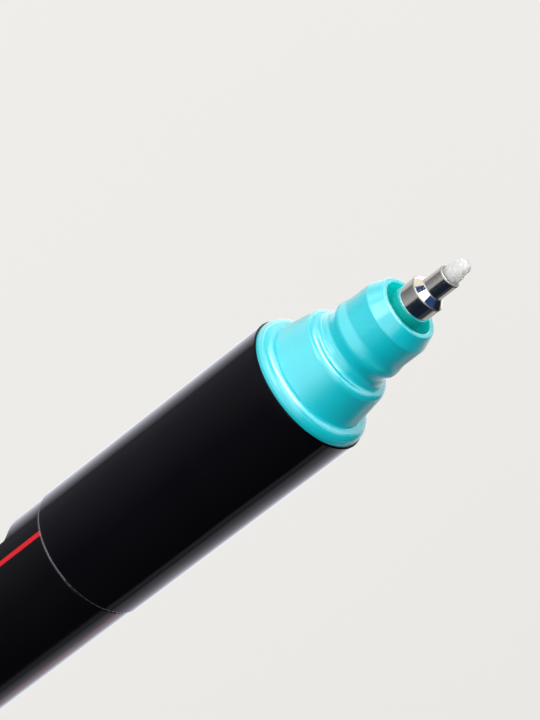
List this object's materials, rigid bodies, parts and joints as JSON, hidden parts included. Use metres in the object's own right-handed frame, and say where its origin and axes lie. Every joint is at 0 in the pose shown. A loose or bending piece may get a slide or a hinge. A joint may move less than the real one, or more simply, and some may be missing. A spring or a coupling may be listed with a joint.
{
  "type": "paint marker",
  "caption": "Refillable valve-action paint marker with a black barrel, a stepped turquoise nose and a fine nib in a polished metal sheath, shown uncapped.",
  "frame": {"origin": "centre of the rear plug's flat end face, on which the marker can stand", "axes": "+Z along the marker from the rear face to the tip, -X towards the barrel's flat panel, -Y towards the side that the picture faces"},
  "size_m": [0.015, 0.015, 0.1452],
  "materials": {
    "black_gloss": "glossy black moulded plastic",
    "black_satin": "satin black moulded plastic with printed red lines",
    "turquoise": "glossy turquoise moulded plastic",
    "teal_inner": "glossy teal moulded plastic",
    "polished_metal": "polished bright metal",
    "nib_white": "translucent white nib",
    "fibre": "bonded fibre rod",
    "valve_natural": "natural uncoloured plastic",
    "seal_rubber": "black rubber",
    "spring_steel": "drawn steel wire",
    "ball_steel": "polished steel"
  },
  "bodies": {
    "barrel": {"barrel": "black_satin", "rear_plug": "turquoise"},
    "mixing_ball": {"mixing_ball": "ball_steel"},
    "valve_unit": {"valve_body": "valve_natural", "valve_cage": "valve_natural", "valve_spring": "spring_steel", "neck_gasket": "seal_rubber", "spout_seal": "seal_rubber"},
    "front": {"front_sleeve": "black_gloss", "nose_cone": "turquoise", "tip_holder": "teal_inner", "ferrule": "polished_metal"},
    "tip": {"nib": "nib_white", "feed_rod": "fibre"},
    "valve_stem": {"valve_stem": "valve_natural", "valve_seal": "seal_rubber"}
  },
  "joints": [
    {"name": "ball_roll", "type": "slide", "parent": "barrel", "child": "mixing_ball", "axis": [0, 0, 1], "range_m": [0, 0.0725]},
    {"name": "front_lift", "type": "slide", "parent": "barrel", "child": "valve_unit", "axis": [0, 0, 1], "range_m": [0, 0.01]},
    {"name": "front_unscrew", "type": "hinge", "parent": "valve_unit", "child": "front", "pos_m": [0, 0, 0.09205], "axis": [0, 0, 1], "range_deg": [0, 1440]},
    {"name": "tip_press", "type": "slide", "parent": "front", "child": "tip", "axis": [0, 0, -1], "range_m": [0, 0.0016], "stiffness_N_per_m": 200, "springref_m": -0.0015},
    {"name": "valve_open", "type": "slide", "parent": "valve_unit", "child": "valve_stem", "axis": [0, 0, -1], "range_m": [0, 0.0016], "deforming": ["valve_spring"]}
  ],
  "couplings": [
    {"joint": "front_unscrew", "follows": "front_lift", "rad_per_m": 2513.3},
    {"joint": "valve_open", "follows": "tip_press", "ratio": 1}
  ]
}
